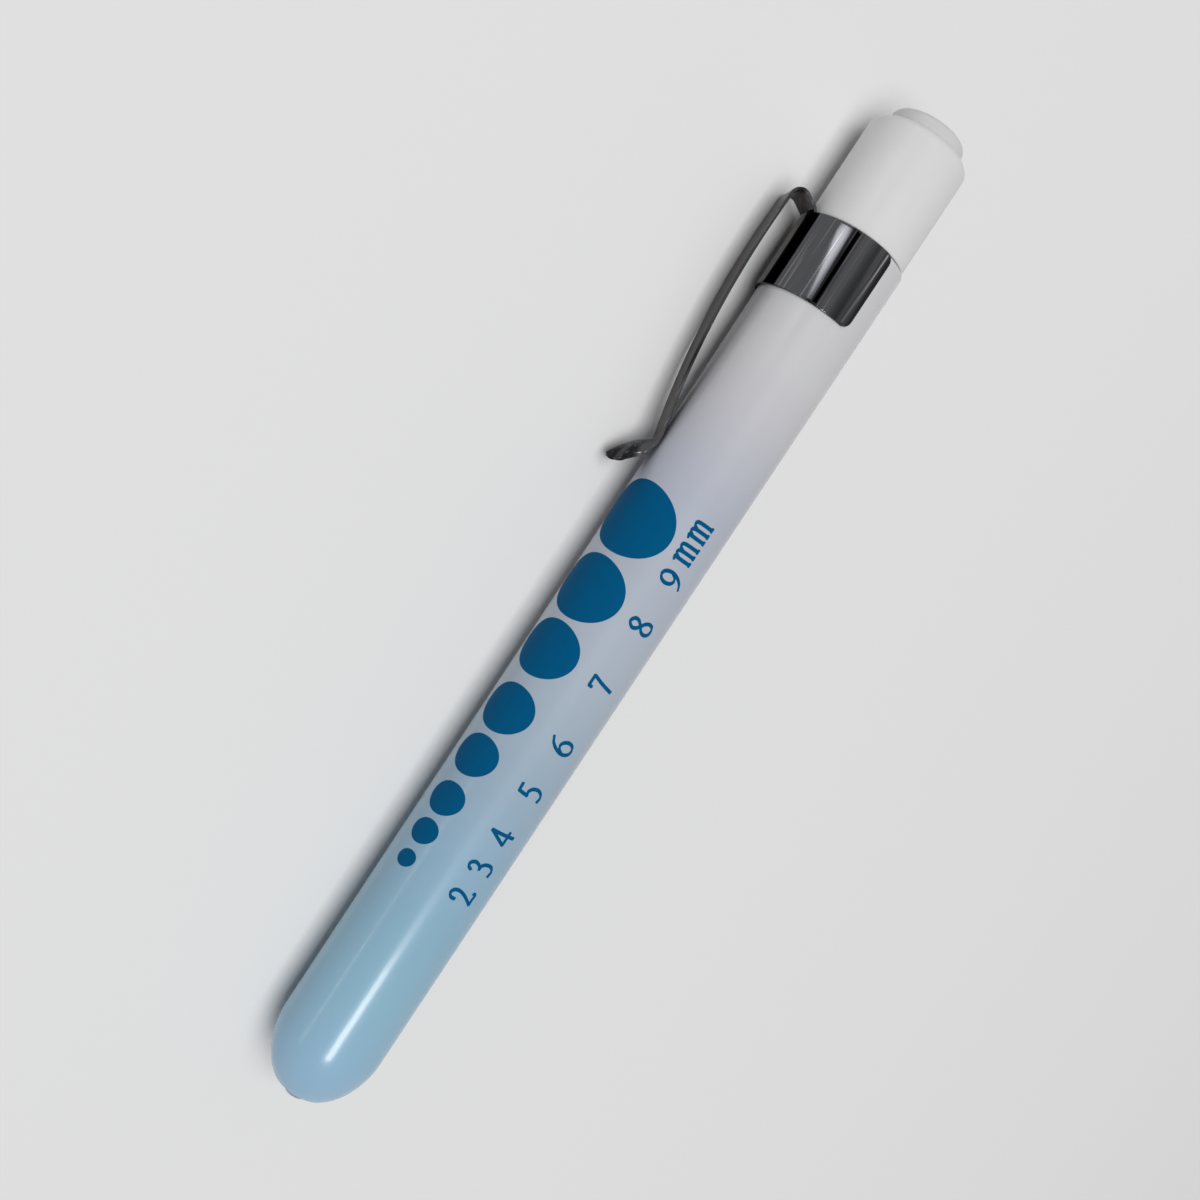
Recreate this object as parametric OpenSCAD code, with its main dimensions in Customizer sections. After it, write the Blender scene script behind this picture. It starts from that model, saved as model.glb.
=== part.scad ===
// Pocket penlight with a pupil scale: a tube for two small cells, a light-emitting diode in the
// rounded nose, a screw-on tail cap with a push switch, and a sprung pocket clip round the tube.
// Each piece is drawn upright about the pen's own axis: z = 0 is the rear rim of the barrel,
// +z runs to the nose, and the clip stands out along +x. lay() then puts the pen down on its clip.

/* [Barrel] */
// Outside diameter of the straight barrel
barrel_d = 13.4; // [12.8:0.1:15]
// Length of the rounded nose
nose_len = 8.75; // [7:0.05:12]
// Diameter of the battery bore
bore_d = 11; // [10.8:0.1:11.6]
// How much fuller the rear end is under the clip, on the radius
rear_swell = 0.05; // [0.02:0.01:0.2]
// Bevel on the rims that meet at the seam
seam_bevel = 0.12; // [0.05:0.01:0.3]

/* [Diode] */
// Diameter of the clear diode body
led_d = 5; // [4:0.1:5.4]
// Length of the diode body from its seat to the top of its dome
led_len = 8.7; // [8:0.1:9.5]
// Diameter of the diode's base flange
led_flange_d = 5.8; // [5.6:0.1:6.4]
// Thickness of the base flange
led_flange_h = 1; // [0.6:0.1:1.4]
// How far the dome stands out past the crown of the nose
led_out = 0.35; // [0:0.05:1]
// Side of the square leads
lead_w = 0.5; // [0.4:0.05:0.6]
// Distance between the two leads
lead_pitch = 2.54; // [2.2:0.02:2.8]
// Height of the posts inside the clear body
post_h = 4.8; // [4:0.1:5]
// Diameter of the anvil that carries the chip
anvil_d = 1.1; // [0.8:0.05:1.5]
// Height of the anvil
anvil_h = 1; // [0.6:0.1:1.4]
// Thickness of the earth washer in front of the holder
washer_t = 0.2; // [0.15:0.05:0.4]
// Length of the diode holder
holder_len = 6.4; // [5:0.1:8]
// Diameter of the front contact disc
disc_d = 7; // [5:0.1:9]
// Thickness of the front contact disc
disc_t = 0.4; // [0.3:0.05:0.8]

/* [Cells] */
// Diameter of a cell over its jacket
cell_d = 10.4; // [10.1:0.05:10.5]
// Length of a cell with its raised contact
cell_len = 44.5; // [43.5:0.1:44.5]
// Thickness of the printed jacket
jacket_t = 0.15; // [0.1:0.01:0.25]
// Wall of the steel can
can_t = 0.25; // [0.2:0.01:0.4]
// Bevel round the can's flat end, and thickness of that end
can_bevel = 0.5; // [0.4:0.05:0.8]
// Diameter of the can's crimped mouth
can_mouth_d = 7.4; // [6.4:0.1:8]
// Height of the raised contact
nub_h = 1.3; // [1:0.1:1.6]
// Diameter of the raised contact
nub_d = 3.8; // [3:0.1:4.4]
// Diameter of the brim round the raised contact
nub_brim_d = 5.6; // [4.8:0.1:6.2]
// Radius of the raised contact's edge
nub_edge_r = 0.3; // [0.1:0.05:0.6]
// Thickness of the seal under the raised contact
seal_t = 0.9; // [0.6:0.1:1.5]

/* [Tail cap] */
// Outside diameter of the tail cap
cap_d = 12.9; // [12.4:0.02:13.2]
// Length of the tail cap
cap_len = 14.15; // [13:0.05:18]
// Radius of the tail cap's rear edge
cap_edge_r = 1.1; // [0.4:0.1:1.4]
// Length of the screw spigot inside the barrel
spigot_len = 6.5; // [6:0.1:9]
// Depth of the well that the button slides in
well_depth = 5.55; // [5:0.05:7]
// Thickness of the core's partition behind the switch
partition_t = 1.2; // [0.8:0.1:1.6]
// Wall of the metal core
core_t = 0.86; // [0.7:0.02:1]
// Diameter of the core's rear chamber
chamber_d = 7; // [6.2:0.1:7.6]

/* [Switch] */
// Diameter of the push button
button_d = 9.5; // [8.6:0.1:9.8]
// How far the button stands out of the cap at rest
button_out = 2.45; // [2:0.05:3.2]
// Travel of the button
button_travel = 1.5; // [1:0.1:1.8]
// Height of the button's crown
crown_h = 0.45; // [0.2:0.05:0.7]
// Radius of the button's edge
button_edge_r = 0.7; // [0.3:0.05:1]
// Thickness of the button's top
button_top_t = 1.4; // [1:0.1:1.8]
// Wall of the button's skirt
skirt_t = 0.86; // [0.6:0.02:1]
// Length of the boss inside the button
boss_len = 3; // [2:0.1:3.4]
// Wall of the boss round the pin
boss_t = 0.8; // [0.6:0.05:0.9]
// Diameter of the contact pin
pin_d = 3; // [2.6:0.1:3.2]
// Diameter of the pin's neck
pin_neck_d = 2.2; // [1.6:0.1:2.4]
// Outside diameter of the clip that stops the pin
pin_clip_d = 5.2; // [4.4:0.1:6]
// Mouth of the clip that stops the pin
pin_clip_mouth = 1.8; // [1.2:0.1:2]
// Thickness of the clip that stops the pin
pin_clip_t = 0.5; // [0.4:0.05:0.7]
// Length of the pin ahead of its clip
pin_nose = 0.9; // [0.6:0.1:1.4]
// Diameter of the stud's shank
stud_d = 2.1; // [1.6:0.1:2.6]
// Diameter of the stud's rear head
stud_head_d = 3.6; // [3:0.1:5]
// Height of the stud's rear head
stud_head_h = 0.9; // [0.6:0.1:1.2]
// Thickness of the stud's front head, which seats the battery spring
stud_seat_t = 0.5; // [0.3:0.05:0.8]
// Thickness of the floor of the switch bush
bush_floor_t = 2.4; // [1.8:0.1:3]
// Depth of the spring cup in the switch bush
bush_cup_depth = 5.2; // [4:0.1:5.4]
// Thickness of the ring that holds the bush
snap_ring_t = 0.6; // [0.4:0.05:0.8]
// Width of the ring that holds the bush
snap_ring_w = 0.9; // [0.6:0.05:1]
// Mouth of the ring that holds the bush
snap_ring_mouth = 1.8; // [1:0.1:4]
// Depth of the ring's groove in the core
ring_groove_depth = 0.3; // [0.15:0.05:0.4]

/* [Springs] */
// Working length of the battery spring between its seat and the rear cell
cell_spring_len = 16; // [12:0.5:24]
// Wire of the battery spring
cell_spring_wire = 0.6; // [0.4:0.05:0.8]
// Diameter of the battery spring's rear curl, between wire centres
cell_spring_rear_d = 6.4; // [5.4:0.1:6.6]
// Diameter of the battery spring's front curl, between wire centres
cell_spring_front_d = 4.8; // [4:0.1:6.4]
// Curls of the battery spring
cell_spring_curls = 7; // [5:1:8]
// Wire of the button's return spring
return_spring_wire = 0.45; // [0.3:0.05:0.5]
// Diameter of the return spring, between wire centres
return_spring_d = 6.2; // [5.8:0.1:6.4]
// Curls of the return spring
return_spring_curls = 6; // [4:1:6]

/* [Pocket clip] */
// Thickness of the spring steel
clip_t = 0.4; // [0.3:0.05:0.6]
// Height of the band along the barrel
band_h = 9.65; // [8:0.05:12]
// Angle that the band wraps round the barrel
band_wrap = 232; // [210:1:280]
// Radius of the band's free corners
band_corner_r = 1; // [0.4:0.1:2]
// Width of the arm at its root
arm_w = 5; // [3.4:0.1:5.4]
// Width of the arm at its tip
arm_tip_w = 3.4; // [2.4:0.1:3.4]
// Height of the curved root between the band and the flat leg
root_rise = 0.2; // [0.2:0.1:0.6]
// Radius of the bend where the leg leans out of the root
root_r = 0.35; // [0.3:0.05:0.8]
// Length of the straight leg between the root and the fold
fold_leg = 1.5; // [1:0.1:1.8]
// How far the leg leans away from the barrel
fold_lean = 62; // [40:1:66]
// Length of the bowed arm
arm_len = 31.4; // [26:0.1:36]
// Slope of the arm where it leaves the fold, away from the barrel
arm_rise = 3; // [0:0.5:4]
// Slope of the arm where it comes down to the barrel
arm_fall = 14; // [11:0.5:18]
// Radius of the heel that rides on the barrel
heel_r = 1.2; // [0.8:0.1:2]
// Slope of the kicked-up tip
tip_kick = 38; // [25:1:45]
// Length of the kicked-up tip
tip_len = 5; // [3:0.1:6]

/* [Clearances] */
// Radial clearance of what turns or slides in a bore
running_gap = 0.05; // [0.03:0.01:0.1]
// Radial clearance of the button in its well
button_gap = 0.1; // [0.06:0.01:0.2]
// Clearance of pieces that are pressed or clipped together
press_gap = 0.02; // [0.01:0.01:0.04]
// Radial clearance of pieces dropped into a pocket
loose_gap = 0.1; // [0.05:0.01:0.2]
// Radial clearance of the battery spring in its cup
cup_gap = 0.3; // [0.2:0.05:0.4]
// Clearance left at the end of the button's travel, at its skirt
skirt_gap = 0.3; // [0.2:0.05:0.6]
// Clearance at each end of a spring
spring_gap = 0.05; // [0.02:0.01:0.1]
// Room between the clip's tip and the straight barrel
tip_room = 1.2; // [0.5:0.1:3]

/* [Hidden] */
$fn = 96;
arc_steps = 24;
corner_lap = 0.02;

// Radii of the barrel, its bore and the pieces that fit them
barrel_r = barrel_d / 2;
rear_r = barrel_r + rear_swell;
bore_r = bore_d / 2;
slip_r = bore_r - running_gap;
cap_r = cap_d / 2;

// Stations of the tail, from the cap's rear face forward
cap_z = -cap_len;
core_z = cap_z + well_depth;
partition_z = core_z + partition_t;
button_r = button_d / 2;
well_r = button_r + button_gap;
button_z = cap_z - button_out;
ceiling_z = button_z + button_top_t;
skirt_z = core_z - button_travel - skirt_gap;
skirt_r = button_r - skirt_t;
pin_r = pin_d / 2;
pin_neck_r = pin_neck_d / 2;
pin_clip_r = pin_clip_d / 2;
boss_r = pin_r + boss_t;
pin_front_z = partition_z + pin_clip_t + pin_nose;
stud_z = pin_front_z + button_travel + press_gap;
bush_z = stud_z + stud_head_h;
bush_floor_z = bush_z + bush_floor_t;
bush_front_z = bush_floor_z + bush_cup_depth;
cavity_r = slip_r - core_t;
bush_r = cavity_r - running_gap;
chamber_r = chamber_d / 2;
cup_r = (cell_spring_rear_d + cell_spring_wire) / 2 + cup_gap;
stud_r = stud_d / 2;
stud_head_r = stud_head_d / 2;
stud_seat_r = cup_r - loose_gap;
ring_groove_r = cavity_r + ring_groove_depth;

// Stations of the cells and of the nose: the stack runs forward from the battery spring's seat,
// and the barrel is as long as the stack asks
rear_cell_z = bush_floor_z + stud_seat_t + cell_spring_len;
front_cell_z = rear_cell_z + cell_len;
holder_z = front_cell_z + cell_len;
led_seat_z = holder_z + holder_len;
led_tip_z = led_seat_z + led_len;
barrel_len = led_tip_z - led_out;
nose_z = barrel_len - nose_len;
shoulder_z = led_seat_z + washer_t;
flange_z = led_seat_z + led_flange_h;
cathode_z = led_seat_z - lead_w;

// Radii of the diode, its carrier and the cells
led_r = led_d / 2;
led_flange_r = led_flange_d / 2;
channel_r = led_r + running_gap;
flange_bore_r = led_flange_r + loose_gap;
disc_r = disc_d / 2;
cathode_reach = slip_r - lead_w;
can_r = cell_d / 2 - jacket_t;
can_in_r = can_r - can_t;
can_h = cell_len - nub_h;
nub_r = nub_d / 2;
mouth_r = can_mouth_d / 2;

// The clip: its bend lines follow from where the heel meets the barrel
band_in_r = rear_r + press_gap;
band_r = band_in_r + clip_t;
band_mid_r = band_in_r + clip_t / 2;
arm_half_w = arm_w / 2;
leg_x = (band_mid_r + sqrt(pow(band_mid_r, 2) - pow(arm_half_w, 2))) / 2;
fold_turn = 180 - fold_lean - arm_rise;
bow_r = arm_len / ((arm_rise + arm_fall) * PI / 180);
heel_x = rear_r + press_gap + clip_t / 2;
arm_x = heel_x + bow_r * (cos(arm_rise) - cos(arm_fall)) + heel_r * (1 - cos(arm_fall));
root_mid_x = leg_x + root_r;
leg_out = root_mid_x - root_r * cos(fold_lean) + fold_leg * sin(fold_lean);
leg_end_z = -root_rise - root_r * sin(fold_lean) - fold_leg * cos(fold_lean);
fold_r = (arm_x - leg_out) / (cos(arm_rise) + cos(fold_lean));
fold_mid_z = leg_end_z + fold_r * sin(fold_lean);
fold_mid_x = leg_out + fold_r * cos(fold_lean);
arm_z = fold_mid_z - fold_r * sin(arm_rise);
bow_z = arm_z + bow_r * sin(arm_rise);
bow_x = arm_x - bow_r * cos(arm_rise);
heel_z = bow_z + bow_r * sin(arm_fall);
heel_mid_z = heel_z + heel_r * sin(arm_fall);
heel_mid_x = heel_x + heel_r;
tip_z = heel_mid_z + heel_r * sin(tip_kick) + tip_len * cos(tip_kick);
tip_x = heel_mid_x - heel_r * cos(tip_kick) + tip_len * sin(tip_kick);
clip_reach = arm_x + bow_r * (1 - cos(arm_rise)) + clip_t / 2;
straight_z = tip_z + tip_room;

// How the pen lies: on its band and on one edge of the clip's arm
rest_angle = asin(band_r / norm([clip_reach, arm_half_w])) - atan2(arm_half_w, clip_reach);
mid_x = (led_tip_z + button_z) / 2;
mid_y = (clip_reach * cos(rest_angle) + arm_half_w * sin(rest_angle) - rear_r) / 2;

module lay() {
    translate([-mid_x, mid_y, band_r])
        rotate([rest_angle - 90, 0, 0])
            rotate([0, 90, 0])
                children();
}

// Points of a quarter ellipse, from its equator at z to the radius r_end near its pole
function dome_points(r, z, height, r_end) =
    [for (i = [0 : arc_steps])
        let (a = i / arc_steps * acos(r_end / r))
            [r * cos(a), z + height * sin(a)]];

// Points of an arc about [x, y], from the angle a to the angle b, from its first step on
function arc_points(x, y, r, a, b, first = 0) =
    [for (i = [first : arc_steps])
        let (t = a + (b - a) * i / arc_steps)
            [x + r * cos(t), y + r * sin(t)]];

module turned(points) {
    rotate_extrude()
        polygon(points);
}

module tube(r_out, r_in, z, height) {
    turned([[r_in, z], [r_out, z], [r_out, z + height], [r_in, z + height]]);
}

module rod(r, z, height) {
    translate([0, 0, z])
        cylinder(r = r, h = height);
}

// Coil springs: the wire's centre line climbs evenly from z_low to z_high
function coil_r(t, r_low, r_high) = r_low + (r_high - r_low) * t;
function coil_point(t, curls, r_low, r_high, z_low, z_high) =
    let (r = coil_r(t, r_low, r_high), a = 360 * curls * t)
        [r * cos(a), r * sin(a), z_low + (z_high - z_low) * t];
function coil_gap(curls, r_low, r_high, z_low, z_high, wire) =
    let (
        per = 24,
        last = per * curls,
        pts = [for (i = [0 : last]) coil_point(i / last, curls, r_low, r_high, z_low, z_high)],
        spans = [for (i = [0 : last], j = [i + per / 2 : 1 : last]) norm(pts[i] - pts[j])]
    ) min(spans) - wire;

module coil(curls, r_low, r_high, z_low, z_high, wire) {
    sides = 6;
    rings = 8 * curls;
    points = [
        for (i = [0 : rings], k = [0 : sides - 1])
            let (
                t = i / rings,
                turn = 360 * curls * t,
                side = 360 * k / sides,
                reach = wire / 2 * cos(side),
                rise = wire / 2 * sin(side)
            )
            coil_point(t, curls, r_low, r_high, z_low, z_high)
                + [reach * cos(turn), reach * sin(turn), rise]
    ];
    walls = [
        for (i = [0 : rings - 1], k = [0 : sides - 1], half = [0, 1])
            let (
                a = i * sides + k,
                b = i * sides + (k + 1) % sides
            )
            half == 0 ? [a, b, b + sides] : [a, b + sides, a + sides]
    ];
    ends = [
        for (k = [1 : sides - 2], last = [0, rings * sides])
            last == 0 ? [0, k + 1, k] : [last, last + k, last + k + 1]
    ];
    polyhedron(points = points, faces = concat(walls, ends));
}

// Barrel and clip

module barrel() {
    outline = concat(
        [[bore_r, 0], [rear_r - seam_bevel, 0], [rear_r, seam_bevel], [rear_r, band_h]],
        [[barrel_r, straight_z]],
        dome_points(barrel_r, nose_z, nose_len, channel_r),
        [[channel_r, flange_z], [flange_bore_r, flange_z]],
        [[flange_bore_r, shoulder_z], [bore_r, shoulder_z]]
    );
    color("#a8bccb")
        lay()
            turned(outline);
}

// A stretch of the band from z to z + height, centred on the arm, thinner by the inset on each face
module band_stretch(angle, z, height, inset = 0) {
    rotate(-angle / 2)
        rotate_extrude(angle = angle)
            translate([band_in_r + inset, z])
                square([clip_t - 2 * inset, height]);
}

// The band, open on the side away from the arm, with its free corners rounded
module clip_band() {
    corner_mid = band_corner_r - corner_lap;
    difference() {
        band_stretch(band_wrap, 0, band_h);
        for (side = [0, 1], edge = [0, 1])
            mirror([0, side, 0])
                rotate(band_wrap / 2)
                    translate([0, 0, band_h / 2])
                        mirror([0, 0, edge])
                            translate([0, -corner_mid, corner_mid - band_h / 2])
                                rotate([90, 0, 90])
                                    linear_extrude(band_r + clip_t)
                                        difference() {
                                            translate([0, -2 * band_corner_r])
                                                square(2 * band_corner_r);
                                            circle(band_corner_r);
                                        }
    }
}

// Outline of the arm seen from outside: parallel at the root, then tapering to a round tip
module arm_outline() {
    tip_r = arm_tip_w / 2;
    tip_mid_z = tip_z - tip_r;
    fold_z = fold_mid_z - fold_r - clip_t;
    polygon(concat(
        [[fold_z, -arm_half_w], [band_h, -arm_half_w]],
        arc_points(tip_mid_z, 0, tip_r, -90, 90),
        [[band_h, arm_half_w], [fold_z, arm_half_w]]
    ));
}

// One face of the bent strip, half its thickness to one side of the centre line: out along the
// leaning leg, over the fold, along the bow, round the heel and out along the tip
function arm_side(half) = concat(
    [[-root_rise / 2, leg_x - half]],
    arc_points(-root_rise, root_mid_x, root_r + half, -90, -90 - fold_lean),
    arc_points(fold_mid_z, fold_mid_x, fold_r + half, -90 - fold_lean, -90 - fold_lean - fold_turn),
    arc_points(bow_z, bow_x, bow_r + half, 90 + arm_rise, 90 - arm_fall, 1),
    arc_points(heel_mid_z, heel_mid_x, heel_r - half, -90 - arm_fall, tip_kick - 90, 1),
    [[tip_z - half * sin(tip_kick), tip_x + half * cos(tip_kick)]]
);

module clip_arm() {
    under_side = arm_side(-clip_t / 2);
    last = len(under_side) - 1;
    rotate([-90, -90, 0])
        intersection() {
            linear_extrude(2 * arm_w, center = true)
                polygon(concat(
                    arm_side(clip_t / 2),
                    [for (i = [0 : last]) under_side[last - i]]
                ));
            rotate([-90, 0, 0])
                linear_extrude(2 * clip_reach)
                    arm_outline();
        }
}

module pocket_clip() {
    color("#3a3c40")
        lay() {
            clip_band();
            band_stretch(2 * asin(arm_half_w / band_mid_r), -root_rise, 2 * root_rise, corner_lap);
            clip_arm();
        }
}

// Diode and its carrier in the nose

module anode_form() {
    translate([lead_pitch / 2 - lead_w / 2, -lead_w / 2, holder_z + disc_t])
        cube([lead_w, lead_w, led_seat_z + post_h - holder_z - disc_t]);
}

module cathode_form() {
    translate([-lead_pitch / 2 - lead_w / 2, -lead_w / 2, cathode_z])
        cube([lead_w, lead_w, post_h + lead_w]);
    translate([-cathode_reach, -lead_w / 2, cathode_z])
        cube([cathode_reach - lead_pitch / 2, lead_w, lead_w]);
    translate([-lead_pitch / 2, -lead_w / 2, led_seat_z + post_h - anvil_h])
        cube([lead_pitch / 2, lead_w, anvil_h]);
    rod(anvil_d / 2, led_seat_z + post_h - anvil_h, anvil_h);
}

module led_body() {
    flat_x = -(led_r + led_flange_r) / 2;
    outline = concat(
        [[0, led_seat_z], [led_flange_r, led_seat_z], [led_flange_r, flange_z], [led_r, flange_z]],
        dome_points(led_r, led_tip_z - led_r, led_r, 0)
    );
    color("#eef4f8", 0.5)
        lay()
            difference() {
                turned(outline);
                anode_form();
                cathode_form();
                translate([flat_x - led_flange_r, -led_flange_r, led_seat_z])
                    cube([led_flange_r, 2 * led_flange_r, led_flange_h]);
            }
}

module led_anode() {
    color("silver")
        lay()
            anode_form();
}

module led_cathode() {
    color("silver")
        lay()
            cathode_form();
}

module led_holder() {
    hole_w = lead_w + 2 * running_gap;
    color("#f4f4f0")
        lay()
            difference() {
                rod(slip_r, holder_z, holder_len);
                rod(disc_r + press_gap, holder_z, disc_t);
                translate([lead_pitch / 2 - hole_w / 2, -hole_w / 2, holder_z])
                    cube([hole_w, hole_w, holder_len]);
                translate([-slip_r, -hole_w / 2, cathode_z - running_gap])
                    cube([slip_r - lead_pitch / 2 + hole_w / 2, hole_w, hole_w]);
            }
}

module earth_washer() {
    color("#c9a24a")
        lay()
            tube(slip_r, flange_bore_r, led_seat_z, washer_t);
}

module front_contact() {
    color("#c9a24a")
        lay()
            rod(disc_r, holder_z, disc_t);
}

// One cell, with its flat end at z

module cell_can(z) {
    top = z + can_h;
    color("#b9bdc2")
        lay()
            turned([
                [0, z], [can_r - can_bevel, z], [can_r, z + can_bevel], [can_r, top], [mouth_r, top],
                [mouth_r, top - can_t], [can_in_r, top - can_t], [can_in_r, z + can_bevel], [0, z + can_bevel]
            ]);
}

module cell_core(z) {
    color("#5a5c60")
        lay()
            rod(can_in_r, z + can_bevel, can_h - can_bevel - can_t - seal_t);
}

module cell_seal(z) {
    top = z + can_h;
    flange = top - can_t;
    color("#26282c")
        lay()
            turned([
                [0, flange - seal_t], [can_in_r, flange - seal_t], [can_in_r, flange],
                [mouth_r, flange], [mouth_r, top], [0, top]
            ]);
}

module cell_nub(z) {
    top = z + can_h;
    brim_r = nub_brim_d / 2;
    edge = nub_edge_r;
    color("#c4c7cb")
        lay()
            turned(concat(
                [[0, top], [brim_r, top], [brim_r, top + can_t], [nub_r, top + can_t]],
                arc_points(nub_r - edge, top + nub_h - edge, edge, 0, 90),
                [[0, top + nub_h]]
            ));
}

module cell_jacket(z) {
    color("#3d4f6b")
        lay()
            tube(cell_d / 2, can_r, z + can_bevel, can_h - can_bevel);
}

// Tail: battery spring, cap, switch and button

module battery_spring() {
    low = bush_floor_z + stud_seat_t + spring_gap + cell_spring_wire / 2;
    high = rear_cell_z - spring_gap - cell_spring_wire / 2;
    rear = cell_spring_rear_d / 2;
    front = cell_spring_front_d / 2;
    gap = coil_gap(cell_spring_curls, rear, front, low, high, cell_spring_wire);
    echo(battery_spring_least_gap = gap);
    color("#c8ccd0")
        lay()
            coil(cell_spring_curls, rear, front, low, high, cell_spring_wire);
}

module tail_cap() {
    core_bore_r = slip_r + press_gap;
    color("#eceded")
        lay()
            turned(concat(
                [[well_r, cap_z]],
                arc_points(cap_r - cap_edge_r, cap_z + cap_edge_r, cap_edge_r, -90, 0),
                [[cap_r, -seam_bevel], [cap_r - seam_bevel, 0], [core_bore_r, 0]],
                [[core_bore_r, core_z], [well_r, core_z]]
            ));
}

module tail_core() {
    color("#c9a24a")
        lay()
            difference() {
                rod(slip_r, core_z, spigot_len - core_z);
                rod(pin_r + running_gap, core_z, partition_t);
                rod(chamber_r, partition_z, bush_z - partition_z);
                rod(cavity_r, bush_z, spigot_len - bush_z);
                rod(ring_groove_r, bush_front_z, snap_ring_t);
            }
}

module switch_bush() {
    color("#2b2d30")
        lay()
            difference() {
                rod(bush_r, bush_z, bush_front_z - bush_z);
                rod(cup_r, bush_floor_z, bush_cup_depth);
                rod(stud_r + press_gap, bush_z, bush_floor_t);
            }
}

module contact_stud() {
    seat_top = bush_floor_z + stud_seat_t;
    color("#c9a24a")
        lay()
            turned([
                [0, stud_z], [stud_head_r, stud_z], [stud_head_r, bush_z], [stud_r, bush_z],
                [stud_r, bush_floor_z], [stud_seat_r, bush_floor_z], [stud_seat_r, seat_top], [0, seat_top]
            ]);
}

module snap_ring() {
    outer_r = ring_groove_r - press_gap;
    color("#9fa3a8")
        lay()
            difference() {
                tube(outer_r, outer_r - snap_ring_w, bush_front_z, snap_ring_t);
                translate([0, -snap_ring_mouth / 2, bush_front_z])
                    cube([outer_r, snap_ring_mouth, snap_ring_t]);
            }
}

module push_button() {
    edge_z = button_z + crown_h + button_edge_r;
    crown_r = button_r - button_edge_r;
    crown = [for (i = [0 : arc_steps])
        let (t = i / arc_steps)
            [crown_r * t, button_z + crown_h * t * t]];
    color("#f2f2f1")
        lay()
            turned(concat(
                crown,
                arc_points(crown_r, edge_z, button_edge_r, -90, 0),
                [[button_r, skirt_z], [skirt_r, skirt_z], [skirt_r, ceiling_z], [boss_r, ceiling_z]],
                [[boss_r, ceiling_z + boss_len], [pin_r + press_gap, ceiling_z + boss_len]],
                [[pin_r + press_gap, ceiling_z], [0, ceiling_z]]
            ));
}

module contact_pin() {
    neck_z = partition_z;
    color("#c9a24a")
        lay()
            turned([
                [0, ceiling_z], [pin_r, ceiling_z], [pin_r, neck_z], [pin_neck_r, neck_z],
                [pin_neck_r, neck_z + pin_clip_t], [pin_r, neck_z + pin_clip_t],
                [pin_r, pin_front_z], [0, pin_front_z]
            ]);
}

module pin_clip() {
    color("#9fa3a8")
        lay()
            difference() {
                tube(pin_clip_r, pin_neck_r + press_gap, partition_z, pin_clip_t);
                translate([0, -pin_clip_mouth / 2, partition_z])
                    cube([pin_clip_r, pin_clip_mouth, pin_clip_t]);
            }
}

module return_spring() {
    low = ceiling_z + spring_gap + return_spring_wire / 2;
    high = core_z - spring_gap - return_spring_wire / 2;
    r = return_spring_d / 2;
    gap = coil_gap(return_spring_curls, r, r, low, high, return_spring_wire);
    echo(return_spring_least_gap = gap);
    color("#c8ccd0")
        lay()
            coil(return_spring_curls, r, r, low, high, return_spring_wire);
}

barrel();
pocket_clip();
led_body();
led_anode();
led_cathode();
led_holder();
earth_washer();
front_contact();
cell_can(front_cell_z);  // front_cell_can
cell_core(front_cell_z);  // front_cell_core
cell_seal(front_cell_z);  // front_cell_seal
cell_nub(front_cell_z);  // front_cell_nub
cell_jacket(front_cell_z);  // front_cell_jacket
cell_can(rear_cell_z);  // rear_cell_can
cell_core(rear_cell_z);  // rear_cell_core
cell_seal(rear_cell_z);  // rear_cell_seal
cell_nub(rear_cell_z);  // rear_cell_nub
cell_jacket(rear_cell_z);  // rear_cell_jacket
battery_spring();
tail_cap();
tail_core();
switch_bush();
contact_stud();
snap_ring();
push_button();
contact_pin();
pin_clip();
return_spring();
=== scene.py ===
import math
import bmesh
import bpy
import numpy as np
from mathutils import Matrix, Vector


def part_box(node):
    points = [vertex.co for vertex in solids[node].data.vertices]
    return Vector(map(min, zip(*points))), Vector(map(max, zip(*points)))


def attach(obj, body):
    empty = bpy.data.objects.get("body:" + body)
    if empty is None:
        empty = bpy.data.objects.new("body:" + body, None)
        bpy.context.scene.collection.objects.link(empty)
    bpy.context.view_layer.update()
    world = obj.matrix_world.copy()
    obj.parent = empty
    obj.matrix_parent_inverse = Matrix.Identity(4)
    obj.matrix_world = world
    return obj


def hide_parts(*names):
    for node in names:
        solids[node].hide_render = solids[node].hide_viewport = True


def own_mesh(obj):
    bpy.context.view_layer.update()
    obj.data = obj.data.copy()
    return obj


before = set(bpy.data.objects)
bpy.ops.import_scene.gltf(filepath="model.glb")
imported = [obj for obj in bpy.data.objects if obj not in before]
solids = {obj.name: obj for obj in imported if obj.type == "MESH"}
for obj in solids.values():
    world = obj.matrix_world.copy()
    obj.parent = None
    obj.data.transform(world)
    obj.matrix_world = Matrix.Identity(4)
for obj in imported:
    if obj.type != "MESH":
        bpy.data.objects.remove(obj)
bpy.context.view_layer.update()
print("frame loaded:", len(solids), "solids")

mm = 0.001
capLow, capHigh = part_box("tail_cap")

# the pen's own axis: z runs from the seam (0) to the nose, turn is the angle about the axis in
# degrees, 0 straight up and positive towards the clip's side
pen = {
    "seamX": capHigh.x,
    "axisY": (capLow.y + capHigh.y) / 2,
    "axisZ": (capLow.z + capHigh.z) / 2,
    "clipTurn": 118.752,  # the pen lies on the clip's edge
}


# a point at radius r, angle turn and station z, all in millimetres, put into the lying frame
def penPoint(r, turn, z):
    a = np.radians(turn)
    r, a, z = np.broadcast_arrays(r, a, z)
    x = pen["seamX"] + z * mm
    y = pen["axisY"] - r * np.sin(a) * mm
    up = pen["axisZ"] + r * np.cos(a) * mm
    return np.stack([x, y, up], axis=-1)


# a point given by out (away from the axis, along the clip), side (across the clip) and z
def clipPoint(out, side, z):
    return penPoint(np.hypot(out, side), pen["clipTurn"] - np.degrees(np.arctan2(side, out)), z)


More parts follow.
